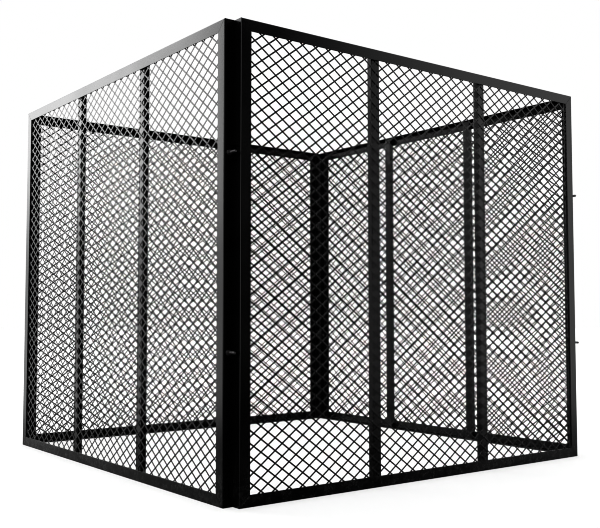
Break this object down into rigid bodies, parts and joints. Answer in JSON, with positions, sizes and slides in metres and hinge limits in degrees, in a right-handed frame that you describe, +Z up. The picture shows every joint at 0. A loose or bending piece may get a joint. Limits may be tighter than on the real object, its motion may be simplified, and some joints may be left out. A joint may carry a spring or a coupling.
{
  "type": "mesh cage enclosure",
  "caption": "Open-topped square steel cage of bolted wall panels: angle-iron frames, flat-tube mullions and diamond mesh, all in satin black.",
  "frame": {"origin": "centre of the square footprint, on the floor plane the bottom rails rest on", "axes": "+Z up; the front panel faces -Y and the left panel faces -X"},
  "size_m": [2.3358, 2.3358, 2.013],
  "materials": {
    "frame_paint": "satin black powder coat",
    "mesh_paint": "satin black powder coat",
    "blacked_steel": "black oxide"
  },
  "bodies": {
    "root": {"front_top_rail": "frame_paint", "front_bottom_rail": "frame_paint", "front_left_stile": "frame_paint", "front_right_stile": "frame_paint", "front_left_mullion": "frame_paint", "front_right_mullion": "frame_paint", "front_mesh": "mesh_paint", "right_top_rail": "frame_paint", "right_bottom_rail": "frame_paint", "right_left_stile": "frame_paint", "right_right_stile": "frame_paint", "right_left_mullion": "frame_paint", "right_right_mullion": "frame_paint", "right_mesh": "mesh_paint", "back_top_rail": "frame_paint", "back_bottom_rail": "frame_paint", "back_left_stile": "frame_paint", "back_right_stile": "frame_paint", "back_left_mullion": "frame_paint", "back_right_mullion": "frame_paint", "back_mesh": "mesh_paint", "left_top_rail": "frame_paint", "left_bottom_rail": "frame_paint", "left_left_stile": "frame_paint", "left_right_stile": "frame_paint", "left_left_mullion": "frame_paint", "left_right_mullion": "frame_paint", "left_mesh": "mesh_paint", "cleat_front_left_lower": "frame_paint", "bolt_front_left_lower": "blacked_steel", "washer_front_left_lower": "blacked_steel", "nut_front_left_lower": "blacked_steel", "cleat_front_left_upper": "frame_paint", "bolt_front_left_upper": "blacked_steel", "washer_front_left_upper": "blacked_steel", "nut_front_left_upper": "blacked_steel", "cleat_front_right_lower": "frame_paint", "bolt_front_right_lower": "blacked_steel", "washer_front_right_lower": "blacked_steel", "nut_front_right_lower": "blacked_steel", "cleat_front_right_upper": "frame_paint", "bolt_front_right_upper": "blacked_steel", "washer_front_right_upper": "blacked_steel", "nut_front_right_upper": "blacked_steel", "cleat_back_left_lower": "frame_paint", "bolt_back_left_lower": "blacked_steel", "washer_back_left_lower": "blacked_steel", "nut_back_left_lower": "blacked_steel", "cleat_back_left_upper": "frame_paint", "bolt_back_left_upper": "blacked_steel", "washer_back_left_upper": "blacked_steel", "nut_back_left_upper": "blacked_steel", "cleat_back_right_lower": "frame_paint", "bolt_back_right_lower": "blacked_steel", "washer_back_right_lower": "blacked_steel", "nut_back_right_lower": "blacked_steel", "cleat_back_right_upper": "frame_paint", "bolt_back_right_upper": "blacked_steel", "washer_back_right_upper": "blacked_steel", "nut_back_right_upper": "blacked_steel"}
  },
  "joints": []
}
